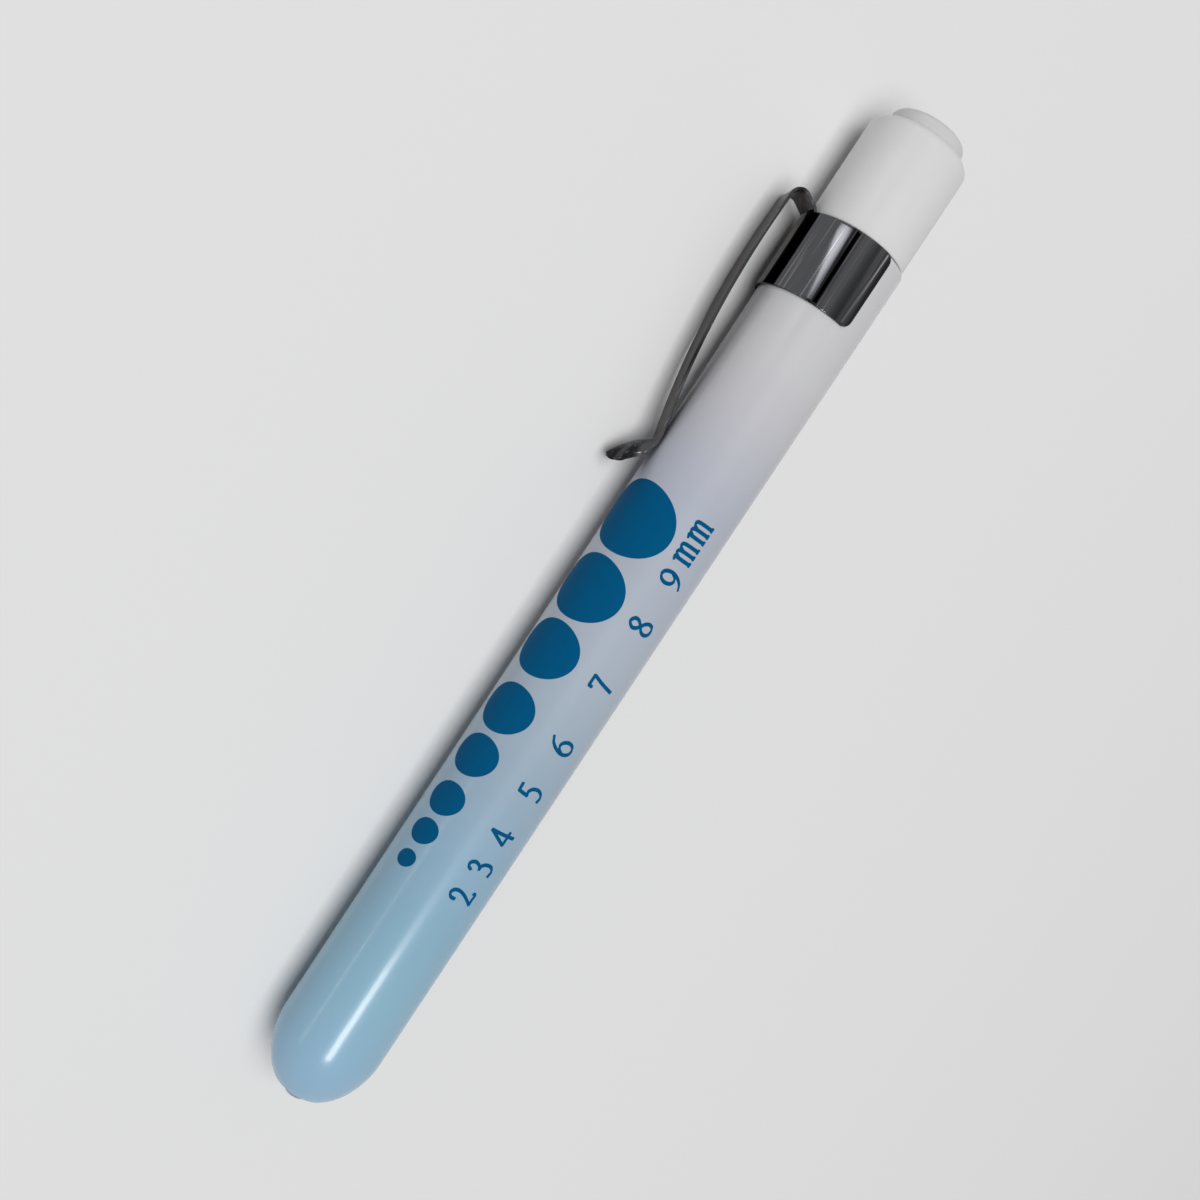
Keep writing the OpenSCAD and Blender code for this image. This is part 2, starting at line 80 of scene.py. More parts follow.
# quads between neighbouring rows and columns of a grid of points, wrapped round where asked
def gridFaces(rows, cols, wrapRows=False, wrapCols=False):
    i = np.arange(rows if wrapRows else rows - 1)[:, None]
    j = np.arange(cols if wrapCols else cols - 1)[None, :]
    a = i * cols + j
    b = i * cols + (j + 1) % cols
    c = (i + 1) % rows * cols + (j + 1) % cols
    d = (i + 1) % rows * cols + j
    return np.stack(np.broadcast_arrays(a, b, c, d), axis=-1).reshape(-1, 4)


# faces of a tube of rings: its wall of quads, then one face over each end
def tubeFaces(count, sides, start=0):
    ends = np.arange(sides) + np.array([[0], [(count - 1) * sides]])
    return (gridFaces(count, sides, wrapCols=True) + start).tolist() + (ends + start).tolist()


# one mesh object from arrays of points and faces: doubles merged, normals outward, edges sharper
# than the crease kept sharp
def makePiece(name, points, faces, body, crease=32):
    weld = 0.0002 * mm
    mesh = bpy.data.meshes.new(name)
    mesh.from_pydata(np.asarray(points).reshape(-1, 3).tolist(), [], [list(f) for f in faces])
    form = bmesh.new()
    form.from_mesh(mesh)
    bmesh.ops.remove_doubles(form, verts=form.verts, dist=weld)
    bmesh.ops.recalc_face_normals(form, faces=form.faces)
    form.to_mesh(mesh)
    form.free()
    mesh.polygons.foreach_set("use_smooth", [True] * len(mesh.polygons))
    mesh.set_sharp_from_angle(angle=math.radians(crease))
    piece = bpy.data.objects.new(name, mesh)
    bpy.context.scene.collection.objects.link(piece)
    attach(piece, body)
    return piece


# points of an arc about (r, z) between two angles, in the plane of a turned profile
def arc(r, z, radius, start, end, steps):
    a = np.radians(np.linspace(start, end, steps + 1))
    return np.stack([r + radius * np.cos(a), z + radius * np.sin(a)], axis=-1)


# a turned piece: a closed profile of (r, z) points carried round the pen's axis
def turnedPiece(name, profile, body, rings=192):
    profile = np.concatenate([np.atleast_2d(p) for p in profile])
    turn = np.linspace(0, 360, rings, endpoint=False)[:, None]
    points = penPoint(profile[None, :, 0], turn, profile[None, :, 1])
    faces = gridFaces(rings, len(profile), wrapRows=True, wrapCols=True)
    return makePiece(name, points, faces, body)


# a strip or wire: rings of section points carried along a path, closed by a face at each end
def sweptPiece(name, rings, body, crease):
    return makePiece(name, rings, tubeFaces(*rings.shape[:2]), body, crease)


# barrel

barrelForm = {
    "radius": 6.7, "rear": 6.75, "bore": 5.5, "bandEnd": 9.65, "straight": 37.09,
    "noseStart": 110.32, "noseLength": 8.75, "channel": 2.55, "flangeBore": 3.0,
    "flange": 111.72, "shoulder": 110.92, "rim": 0.18, "lip": 0.18, "face": 3.7, "faceEdge": 0.35,
}


# a closed profile turned about the axis. Its nose is the quarter ellipse r = R cos a,
# z = start + length sin a, ended by a narrow flat with round edges
def buildBarrel(f):
    aEnd = math.acos(f["face"] / f["radius"])
    a = np.linspace(0, aEnd, 72)
    nose = np.stack([f["radius"] * np.cos(a), f["noseStart"] + f["noseLength"] * np.sin(a)], axis=-1)
    lean = math.atan2(f["radius"] * math.sin(aEnd), f["noseLength"] * math.cos(aEnd))
    edgeR = nose[-1, 0] - f["faceEdge"] * math.cos(lean)
    edgeZ = nose[-1, 1] - f["faceEdge"] * math.sin(lean)
    edge = arc(edgeR, edgeZ, f["faceEdge"], math.degrees(lean), 90, steps=8)[1:]
    lip = arc(f["channel"] + f["lip"], edge[-1, 1] - f["lip"], f["lip"], 90, 180, steps=8)
    profile = [
        (f["bore"], 0), (f["rear"] - f["rim"], 0),
        arc(f["rear"] - f["rim"], f["rim"], f["rim"], -80, 0, steps=5),
        (f["rear"], f["bandEnd"]), (f["radius"], f["straight"]),
        nose, edge, lip,
        (f["channel"], f["flange"]), (f["flangeBore"], f["flange"]),
        (f["flangeBore"], f["shoulder"]), (f["bore"], f["shoulder"]),
    ]
    piece = turnedPiece("barrelShell", profile, "barrel", rings=256)
    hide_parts("barrel")
    return piece


barrelShell = buildBarrel(barrelForm)
print("barrel turned")

# tail cap and button

capForm = {
    "radius": 6.45, "rear": -14.15, "edge": 1.1, "well": 4.85, "wellEnd": -8.6, "lip": 0.15,
    "core": 5.47, "rim": 0.18, "seam": 0.25,
}


# a turned shell: the button's well with its lip, the rounded rear edge, the straight wall, and a rim
# that stops short of the barrel by the width of the seam
def buildCap(f):
    profile = [
        (f["core"], f["wellEnd"]), (f["well"], f["wellEnd"]), (f["well"], f["rear"] + f["lip"]),
        arc(f["well"] + f["lip"], f["rear"] + f["lip"], f["lip"], 180, 270, steps=5),
        arc(f["radius"] - f["edge"], f["rear"] + f["edge"], f["edge"], -90, 0, steps=16),
        arc(f["radius"] - f["rim"], -f["seam"] - f["rim"], f["rim"], 0, 90, steps=5),
        (f["core"], -f["seam"]),
    ]
    piece = turnedPiece("tailShell", profile, "tail")
    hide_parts("tail_cap")
    return piece


buttonForm = {
    "radius": 4.75, "top": -16.6, "crown": 0.45, "edge": 0.7, "skirtEnd": -10.4, "skirt": 3.89,
    "ceiling": -15.2, "boss": 2.3, "bossEnd": -12.2, "pin": 1.52,
}


# a turned cup with a boss inside; its crown is a parabola from the pole to the rounded edge
def buildButton(f):
    crownR = f["radius"] - f["edge"]
    t = np.linspace(0, 1, 24)
    slope = math.degrees(math.atan2(2 * f["crown"], crownR))
    crown = np.stack([crownR * t, f["top"] + f["crown"] * t * t], axis=-1)
    profile = [
        crown,
        arc(crownR, f["top"] + f["crown"] + f["edge"], f["edge"], slope - 90, 0, steps=14),
        (f["radius"], f["skirtEnd"]), (f["skirt"], f["skirtEnd"]), (f["skirt"], f["ceiling"]),
        (f["boss"], f["ceiling"]), (f["boss"], f["bossEnd"]), (f["pin"], f["bossEnd"]),
        (f["pin"], f["ceiling"]), (0, f["ceiling"]),
    ]
    piece = turnedPiece("pushButton", profile, "button")
    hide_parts("push_button")
    return piece


tailShell = buildCap(capForm)
pushButton = buildButton(buttonForm)
print("cap and button turned")

# diode

ledForm = {
    "radius": 2.5, "seat": 110.72, "flange": barrelForm["flange"], "flangeR": 2.9, "fillet": 0.15,
    "tip": 119.42,
}


# a turned body: a flange with a rounded edge, a straight wall, and a half sphere on top
def buildLed(f):
    profile = [
        (0, f["seat"]), (f["flangeR"], f["seat"]),
        arc(f["flangeR"] - f["fillet"], f["flange"] - f["fillet"], f["fillet"], 0, 90, steps=4),
        (f["radius"], f["flange"]),
        arc(0, f["tip"] - f["radius"], f["radius"], 0, 90, steps=32),
    ]
    piece = turnedPiece("ledLens", profile, "barrel", rings=96)
    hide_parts("led_body")
    return piece


ledLens = buildLed(ledForm)

# coil springs

batterySpring = {
    "curls": 7, "wire": 0.6, "rearR": 3.2, "frontR": 2.4, "low": -0.33, "high": 14.97,
    "body": "spring_seat", "node": "battery_spring",
}
returnSpring = {
    "curls": 6, "wire": 0.45, "rearR": 3.1, "frontR": 3.1, "low": -14.925, "high": -8.875,
    "body": "tail", "node": "return_spring", "length": 6.6, "travel": 1.5,
}


# the wire's centre climbs evenly while it turns; its section is a circle in the plane of the axis
def buildSpring(name, f, sides=12, perCurl=32):
    t = np.linspace(0, 1, perCurl * f["curls"] + 1)[:, None]
    a = np.linspace(0, 2 * np.pi, sides, endpoint=False)[None, :]
    radius = f["rearR"] + (f["frontR"] - f["rearR"]) * t + f["wire"] / 2 * np.cos(a)
    z = f["low"] + (f["high"] - f["low"]) * t + f["wire"] / 2 * np.sin(a)
    turn = pen["clipTurn"] - 360 * f["curls"] * t
    piece = sweptPiece(name, penPoint(radius, turn, z), f["body"], crease=60)
    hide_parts(f["node"])
    return piece


batteryCoil = buildSpring("batteryCoil", batterySpring)
returnCoil = buildSpring("returnCoil", returnSpring)
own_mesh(returnCoil)
print("diode and springs made")

# tail core with its screw spigot

coreForm = {
    "crest": 5.45, "root": 5.12, "pitch": 1.0, "flat": 0.25, "start": 0.5, "end": 6.1, "runOut": 0.5,
    "rear": capForm["wellEnd"], "neck": -0.6, "neckEnd": -0.5, "front": 6.5, "bevel": 0.1,
    "cavity": 4.59, "groove": 4.89, "grooveStart": 4.02, "grooveEnd": 4.62,
    "bush": -3.58, "chamber": 3.5, "partition": -7.4, "hole": 1.55,
}


# the outer wall's radius is the root plus a trapezoid wave of (z / pitch - turn / 360), which makes a
# right-handed thread; it runs out at both ends. The hollow inside is a plain turned profile
def buildCore(f):
    z = np.linspace(f["start"], f["end"], 97)
    turn = np.linspace(0, 360, 192, endpoint=False)[:, None]
    wave = np.abs(2 * ((z / f["pitch"] - turn / 360) % 1) - 1)
    ridge = np.clip((wave - f["flat"]) / (1 - 2 * f["flat"]), 0, 1)
    runOut = np.clip(np.minimum(z - f["start"], f["end"] - z) / f["runOut"], 0, 1)
    thread = f["root"] + (f["crest"] - f["root"]) * ridge * runOut
    behind = np.array([
        (f["hole"], f["rear"]), (f["crest"], f["rear"]), (f["crest"], f["neck"]), (f["root"], f["neckEnd"]),
    ])
    ahead = np.array([
        (f["root"] - f["bevel"], f["front"]), (f["cavity"], f["front"]), (f["cavity"], f["grooveEnd"]),
        (f["groove"], f["grooveEnd"]), (f["groove"], f["grooveStart"]), (f["cavity"], f["grooveStart"]),
        (f["cavity"], f["bush"]), (f["chamber"], f["bush"]), (f["chamber"], f["partition"]),
        (f["hole"], f["partition"]),
    ])
    plain = np.ones_like(turn)
    radius = np.concatenate([plain * behind[:, 0], thread, plain * ahead[:, 0]], axis=1)
    station = np.concatenate([behind[:, 1], z, ahead[:, 1]])[None, :]
    faces = gridFaces(*radius.shape, wrapRows=True, wrapCols=True)
    piece = makePiece("tailCore", penPoint(radius, turn, station), faces, "tail")
    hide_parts("tail_core")
    return piece


tailCore = buildCore(coreForm)
print("core threaded")

# pocket clip

clipForm = {
    "thick": 0.4, "edge": 0.1,
    "bandIn": 6.77, "bandHeight": barrelForm["bandEnd"], "wrap": 232, "corner": 1.0,
    "width": 5.0, "tipWidth": 3.4, "legOut": 6.738, "rootRise": 0.2, "rootR": 0.35, "rootBlend": 0.41,
    "leg": 1.5, "lean": 62.0, "rise": 3.0, "fall": 14.0, "armLength": 30.9, "heel": 1.2, "heelOut": 6.97,
    "lap": 0.3, "lapThin": 0.9,  # how far the arm laps the band, and how thin it is there
    "kick": 57.0, "tip": 5.1, "cup": 1.35, "cupRun": 0.5, "endDrop": 1.5, "endRound": 0.5,
    "bandRuns": (-0.96, -0.4, 0.4, 0.96), "armRuns": np.linspace(-0.95, 0.95, 21),
}


# 0 to 1 with level ends: 3 t squared less 2 t cubed
def easeStep(t):
    return t * t * (3 - 2 * t)


# a rounded rectangle of the given half sizes, as (a, b) points going round; runA and runB are shares
# of the straight sides at which more points stand
def roundedSection(halfA, halfB, edge, runA=(), runB=(), steps=4):
    q = np.radians(np.linspace(0, 90, steps + 1))
    shareA, shareB = np.asarray(runA, float), np.asarray(runB, float)

    # a quarter round: for a and then for b, the share of the straight half and that of the edge
    def corner(a, b):
        points = np.stack([np.full_like(q, a), a * np.cos(q), np.full_like(q, b), b * np.sin(q)], axis=-1)
        return points if a * b > 0 else points[::-1]

    def side(*columns):
        return np.stack(np.broadcast_arrays(*columns), axis=-1)

    table = np.concatenate([
        corner(1, 1), side(shareA[::-1], 0, 1, 1), corner(-1, 1), side(-1, -1, shareB[::-1], 0),
        corner(-1, -1), side(shareA, 0, -1, -1), corner(1, -1), side(1, 1, shareB, 0),
    ])
    halfA, halfB, edge = (np.asarray(v)[..., None] for v in np.broadcast_arrays(halfA, halfB, edge))
    outA = (halfA - edge) * table[:, 0] + edge * table[:, 1]
    outB = (halfB - edge) * table[:, 2] + edge * table[:, 3]
    return outA, outB


# the band: a thin section carried round the barrel; near the free ends it draws in on a circle
def buildBand(f):
    middle = f["bandIn"] + f["thick"] / 2
    reach = math.radians(f["wrap"] / 2) * middle
    corner = f["corner"]
    near = corner * (1 - np.cos(np.radians(np.linspace(0, 90, 14))))
    between = np.linspace(-reach + corner, reach - corner, 160)[1:-1]
    along = np.concatenate([-reach + near, between, reach - near[::-1]])
    fromEnd = np.clip(reach - np.abs(along), 0, corner)
    drawn = corner - np.sqrt(corner ** 2 - (corner - fromEnd) ** 2)
    halfHeight = f["bandHeight"] / 2 - drawn
    thick, tall = roundedSection(f["thick"] / 2, halfHeight, f["edge"], runB=f["bandRuns"])
    turn = pen["clipTurn"] - np.degrees(along / middle)[:, None]
    return penPoint(middle + thick, turn, f["bandHeight"] / 2 + tall)


# the arm's centre line in the plane of the clip, as arrays of z, out and heading: each run keeps one
# radius while its heading goes from one angle to the next, or runs straight
def armPath(f):
    rise, fall, kick, lean = (math.radians(f[k]) for k in ("rise", "fall", "kick", "lean"))
    bowR = f["armLength"] / (rise + fall)
    armOut = f["heelOut"] + bowR * (math.cos(rise) - math.cos(fall)) + f["heel"] * (1 - math.cos(fall))
    legOut = f["legOut"] + f["rootR"] * (1 - math.cos(lean)) + f["leg"] * math.sin(lean)
    foldR = (armOut - legOut) / (math.cos(rise) + math.cos(lean))
    leaning = math.pi - lean
    runs = [  # heading at both ends, length, count of steps
        (math.pi, math.pi, f["lap"] + f["rootRise"], 6),
        (math.pi, leaning, f["rootR"] * lean, 10),
        (leaning, leaning, f["leg"], 8),
        (leaning, rise, foldR * (leaning - rise), 40),
        (rise, -fall, f["armLength"], 64),
        (-fall, kick, f["heel"] * (fall + kick), 24),
        (kick, kick, f["tip"], 40),
    ]
    head = np.concatenate([np.linspace(a, b, n, endpoint=False) + (b - a) / n / 2 for a, b, _, n in runs])
    step = np.concatenate([np.full(n, length / n) for _, _, length, n in runs])
    z = f["lap"] + np.concatenate([[0], np.cumsum(step * np.cos(head))])
    out = f["legOut"] + np.concatenate([[0], np.cumsum(step * np.sin(head))])
    way = np.concatenate([[0], np.cumsum(step)])
    middle = np.concatenate([[head[0]], (head[1:] + head[:-1]) / 2, [head[-1]]])
    return z, out, middle, way


# the arm: a thin section carried along that line. It is curved like the band at its root, tapers
# from the band's lower edge on, and ends in a spoon whose sides and end are bent down as parabolas
def buildArm(f):
    z, out, head, way = armPath(f)
    total = way[-1]
    pastFold = way > total / 4
    begin = way[np.argmax((z > f["bandHeight"]) & pastFold)]
    taper = np.clip((way - begin) / (total - begin), 0, 1)
    half = (f["width"] + (f["tipWidth"] - f["width"]) * taper) / 2
    left = np.clip((total - way) / (f["tipWidth"] * f["endRound"]), 0, 1)
    half = half * np.sqrt(np.clip(1 - (1 - left) ** 2, 0.004, 1))  # the floor keeps the last ring open
    root = np.clip((way - f["lap"]) / f["rootBlend"], 0, 1)
    thin = f["thick"] / 2 * (f["lapThin"] + (1 - f["lapThin"]) * np.clip(root * 4, 0, 1))
    edge = np.minimum(f["edge"], 0.9 * np.minimum(half, thin))
    side, lift = roundedSection(half, thin, edge, runA=f["armRuns"])
    middle = f["bandIn"] + f["thick"] / 2
    sag = np.sqrt(middle ** 2 - side ** 2) - f["legOut"]
    blend = (1 - easeStep(root))[:, None]
    ramp = np.clip((way - (total - f["tip"] - f["heel"])) / (f["tip"] * f["cupRun"]), 0, 1)
    cupping = f["cup"] * easeStep(ramp)[:, None]
    endBend = f["endDrop"] * np.clip(1 - (total - way) / f["tip"], 0, 1)[:, None] ** 2
    across = lift - sag * blend - cupping * (side / (f["tipWidth"] / 2)) ** 2 - endBend
    zAll = z[:, None] - np.sin(head)[:, None] * across
    outAll = out[:, None] + np.cos(head)[:, None] * across
    return clipPoint(outAll, side, zAll)


clipBand = sweptPiece("clipBand", buildBand(clipForm), "barrel", crease=40)
clipArm = sweptPiece("clipArm", buildArm(clipForm), "barrel", crease=40)
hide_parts("pocket_clip")
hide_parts("pocket_clip")
print("clip bent")

# printed scale: places are measured back from the diode's tip

scalePrint = {
    "dotTurn": pen["clipTurn"] - 39.2, "numberTurn": pen["clipTurn"] - 110.8, "tip": ledForm["tip"],
    "film": 0.02, "sink": 0.05,
    "layer": 0.0012,  # lift of each stroke over the one before, so that no two tops share a plane
    "wide": 1.23, "spread": 0.2, "slant": 0.0046, "slantFrom": 46.0,
    "height": 3.4, "thick": 0.48, "thin": 0.3, "nib": 25.0, "strokeEnd": 0.12,
    "dots": {9: 79.15, 8: 69.7, 7: 61.35, 6: 53.15, 5: 46.7, 4: 40.75, 3: 36.25, 2: 32.55},
    "marks": [("2", 32.5), ("3", 36.3), ("4", 40.6), ("5", 46.6), ("6", 52.95), ("7", 61.25),
              ("8", 69.3), ("9", 75.65), ("m", 78.9), ("m", 81.8)],
}

# pen strokes of each mark in a box one high; a smooth line runs through the points of a stroke
sixBowl = [(0.49, 0.97), (0.27, 0.84), (0.11, 0.60), (0.05, 0.33), (0.12, 0.10), (0.28, 0.03),
           (0.44, 0.12), (0.50, 0.32), (0.43, 0.51), (0.30, 0.58), (0.16, 0.52), (0.09, 0.42)]
markStrokes = {
    "2": [[(0.06, 0.72), (0.08, 0.88), (0.21, 0.97), (0.35, 0.90), (0.39, 0.72), (0.32, 0.50),
           (0.18, 0.26), (0.04, 0.06)],
          [(0.04, 0.06), (0.24, 0.07), (0.43, 0.06), (0.47, 0.16)]],
    "3": [[(0.05, 0.82), (0.14, 0.95), (0.28, 0.95), (0.36, 0.81), (0.30, 0.64), (0.16, 0.55)],
          [(0.16, 0.55), (0.32, 0.53), (0.41, 0.37), (0.39, 0.16), (0.24, 0.04), (0.04, 0.06)]],
    "4": [[(0.38, 0.96), (0.03, 0.30)], [(0.03, 0.30), (0.53, 0.30)], [(0.38, 0.96), (0.38, 0.04)]],
    "5": [[(0.16, 0.94), (0.43, 0.96)], [(0.16, 0.94), (0.11, 0.58)],
          [(0.11, 0.58), (0.25, 0.62), (0.39, 0.52), (0.43, 0.31), (0.34, 0.12), (0.19, 0.04),
           (0.04, 0.07)]],
    "6": [sixBowl],
    "7": [[(0.03, 0.82), (0.05, 0.94)], [(0.05, 0.94), (0.43, 0.94)],
          [(0.43, 0.94), (0.28, 0.50), (0.17, 0.03)]],
    "8": [[(0.26, 0.53), (0.12, 0.66), (0.09, 0.82), (0.23, 0.97), (0.39, 0.89), (0.40, 0.73),
           (0.26, 0.55), (0.10, 0.40), (0.05, 0.22), (0.13, 0.07), (0.27, 0.03), (0.42, 0.10),
           (0.46, 0.26), (0.39, 0.42), (0.26, 0.53)]],
    "9": [[(0.52 - 0.92 * x, 1 - y) for x, y in sixBowl]],
    "m": [[(0.01, 0.90), (0.13, 0.95)], [(0.13, 0.95), (0.12, 0.60), (0.12, 0.25)],
          [(0.06, 0.25), (0.18, 0.25)],
          [(0.12, 0.76), (0.22, 0.92), (0.34, 0.92), (0.38, 0.76), (0.38, 0.25)],
          [(0.32, 0.25), (0.44, 0.25)],
          [(0.38, 0.76), (0.48, 0.92), (0.60, 0.92), (0.64, 0.76), (0.64, 0.25)],
          [(0.58, 0.25), (0.71, 0.25)]],
}


# one round mark laid on the barrel: rings from the middle of its top out to the rim and back under it,
# sunk into the surface there; it leans towards the nose the more, the nearer it lies to it
def dotRings(size, z, f):
    a = np.linspace(0, 2 * np.pi, 96, endpoint=False)[None, :]
    top, under = np.linspace(0, 0.985, 20), np.linspace(0.9, 0, 9)
    reach = (size + f["spread"]) / 2 * np.concatenate([top, [1, 1], under])[:, None]
    topFilm, underFilm = np.full(len(top), f["film"]), np.full(len(under) + 1, -f["sink"])
    film = np.concatenate([topFilm, [f["film"] / 2], underFilm])[:, None]
    turn = f["dotTurn"] + np.degrees(f["wide"] * reach * np.sin(a) / barrelForm["radius"])
    slant = f["slant"] * (z - f["slantFrom"]) * f["wide"]
    return penPoint(barrelForm["radius"] + film, turn, z + reach * (np.cos(a) + slant * np.sin(a)))


# all round marks as one mesh: the faces of one, repeated with the count of points added each time
def buildDots(f):
    points = np.stack([dotRings(size, f["tip"] - place, f) for size, place in f["dots"].items()])
    base = gridFaces(points.shape[1], points.shape[2], wrapCols=True)
    perDot = points.shape[1] * points.shape[2]
    faces = (base[None] + perDot * np.arange(len(points))[:, None, None]).reshape(-1, 4)
    return makePiece("scaleDots", points, faces, "barrel", crease=60)


# a smooth line through the points: between two of them a cubic whose end slopes follow the neighbours
def smoothLine(points, steps=14):
    p = np.asarray(points, float)
    p = np.concatenate([[2 * p[0] - p[1]], p, [2 * p[-1] - p[-2]]])
    t = np.linspace(0, 1, steps, endpoint=False)[None, :, None]
    a, b, c, d = (p[i:len(p) - 3 + i, None, :] for i in range(4))
    square, cube = a - 2.5 * b + 2 * c - d / 2, 1.5 * (b - c) + (d - a) / 2
    line = b + (c - a) / 2 * t + square * t ** 2 + cube * t ** 3
    return np.concatenate([line.reshape(-1, 2), p[-2:-1]])


# one stroke of a broad pen laid on the barrel: its width follows the angle between the stroke and
# the nib, its ends are round, and its section is a low closed strip of ink
def strokeRings(points, place, width, layer, f):
    line = smoothLine(points) * f["height"]
    slope = np.gradient(line, axis=0)
    slope /= np.linalg.norm(slope, axis=1, keepdims=True)
    angle = np.arctan2(slope[:, 1], slope[:, 0]) - math.radians(f["nib"])
    half = (f["thin"] + (f["thick"] - f["thin"]) * np.abs(np.sin(angle))) / 2
    quarter = np.sin(np.radians(np.linspace(0, 90, 6)))
    fade = np.sqrt(np.clip(1 - (1 - quarter[:-1]) ** 2, 0.02, 1))  # the floor keeps the end rings open
    head = line[0] - slope[0] * f["strokeEnd"] * (1 - quarter[:-1, None])
    tail = line[-1] + slope[-1] * f["strokeEnd"] * quarter[1:, None]
    line = np.concatenate([head, line, tail])
    slope = np.concatenate([np.repeat(slope[:1], len(fade), 0), slope, np.repeat(slope[-1:], len(fade), 0)])
    half = np.concatenate([half[0] * fade, half, half[-1] * fade[::-1]])
    side = np.stack([-slope[:, 1], slope[:, 0]], axis=-1)
    offset = np.array([-1, -1, 0, 1, 1, 0])[None, :, None]
    top, under = f["film"] + layer * f["layer"], -f["sink"] + layer * f["layer"]
    film = np.array([under, top, top, top, under, under])
    flat = line[:, None, :] + side[:, None, :] * half[:, None, None] * offset
    along = f["tip"] - place - (flat[..., 0] - width / 2 * f["height"])
    turn = f["numberTurn"] + np.degrees((flat[..., 1] - f["height"] / 2) / barrelForm["radius"])
    return penPoint(barrelForm["radius"] + film[None, :], turn, along)


# all numerals and the unit as one mesh of strokes, each mark centred on its place
def buildNumbers(f):
    points, faces, start = [], [], 0
    for mark, place in f["marks"]:
        across = np.concatenate(markStrokes[mark])[:, 0]
        width = across.min() + across.max()
        for layer, stroke in enumerate(markStrokes[mark]):
            rings = strokeRings(stroke, place, width, layer, f)
            count, sides = rings.shape[:2]
            points.append(rings.reshape(-1, 3))
            faces += tubeFaces(count, sides, start)
            start += count * sides
    return makePiece("scaleNumbers", np.concatenate(points), faces, "barrel", crease=60)


scaleDots = buildDots(scalePrint)
scaleNumbers = buildNumbers(scalePrint)
print("scale printed")

# materials. Sockets are given by name or number: of a Map Range 0 is the value, 1 and 2 its range, 3 and
# 4 the range it gets; of a Mix of colours 0 is the share, 6 and 7 the colours, and 2 what comes out


# an sRGB hex colour as linear RGBA
def hexColour(code):
    c = np.array([int(code[i:i + 2], 16) for i in (1, 3, 5)]) / 255
    linear = np.where(c <= 0.04045, c / 12.92, ((c + 0.055) / 1.055) ** 2.4)
    return (*linear.tolist(), 1.0)


# adds a node, sets its properties, then sets or links its inputs
def addNode(tree, kind, inputs=None, **settings):
    node = tree.nodes.new(kind)
    for key, value in settings.items():
        setattr(node, key, value)
    for key, value in (inputs or {}).items():
        if isinstance(value, bpy.types.NodeSocket):
            tree.links.new(value, node.inputs[key])
        else:
            node.inputs[key].default_value = value
    return node


# an empty material: its tree, its shader and its Object coordinates
def newMaterial(name):
    material = bpy.data.materials.new(name)
    material.use_nodes = True
    tree = material.node_tree
    tree.nodes.clear()
    shader = addNode(tree, "ShaderNodeBsdfPrincipled")
    addNode(tree, "ShaderNodeOutputMaterial", {"Surface": shader.outputs["BSDF"]})
    place = addNode(tree, "ShaderNodeTexCoord").outputs["Object"]
    return material, tree, shader, place


# sets constant values on the shader's own sockets
def setShader(shader, **values):
    for key, value in values.items():
        shader.inputs[key.replace("_", " ")].default_value = value


# links a finish's colour, roughness and relief to its shader
def linkFinish(tree, shader, colour, rough, relief):
    tree.links.new(colour, shader.inputs["Base Color"])
    tree.links.new(rough, shader.inputs["Roughness"])
    tree.links.new(relief, shader.inputs["Normal"])


# a plain finish: two close tones mottled by noise, a roughness that wanders with it, a fine grain
def mottledFinish(name, tones, grain, rough, bump, depth=0.02, stretch=(1, 1, 1), **values):
    material, tree, shader, place = newMaterial(name)
    spread = addNode(tree, "ShaderNodeMapping", {"Vector": place, "Scale": stretch})
    noise = addNode(tree, "ShaderNodeTexNoise",
                    {"Vector": spread.outputs[0], "Scale": 1 / (grain * mm), "Detail": 4.0})
    mix = addNode(tree, "ShaderNodeMix",
                  {0: noise.outputs[0], 6: hexColour(tones[0]), 7: hexColour(tones[1])}, data_type="RGBA")
    wander = addNode(tree, "ShaderNodeMapRange", {0: noise.outputs[0], 3: rough[0], 4: rough[1]})
    grit = addNode(tree, "ShaderNodeTexNoise",
                   {"Vector": spread.outputs[0], "Scale": 4 / (grain * mm), "Detail": 2.0})
    relief = addNode(tree, "ShaderNodeBump",
                     {"Strength": bump, "Distance": depth * mm, "Height": grit.outputs[0]})
    linkFinish(tree, shader, mix.outputs[2], wander.outputs[0], relief.outputs[0])
    setShader(shader, **values)
    return material


# gives one material to some objects
def dress(material, *objects):
    for thing in objects:
        thing.data.materials.clear()
        thing.data.materials.append(material)


# stove enamel on aluminium: smooth, glossy and pale grey; the blue that grows along the tube towards the
# nose is a painted bluish reflection
enamelForm = {
    "tones": [(0, "#c0c0c3"), (16, "#bebec1"), (24, "#b6b6bc"), (35, "#a6abb8"), (56, "#a1abb7"),
              (71, "#91a4b4"), (84, "#85a4ba"), (93, "#80a5ba"), (102, "#82a9bd"), (114, "#86aac3"),
              (119, "#86aac3")],
    "cloud": 9.0, "sway": 1.5, "peel": 0.9, "relief": 0.02, "bump": 0.04, "rough": (0.2, 0.28),
}
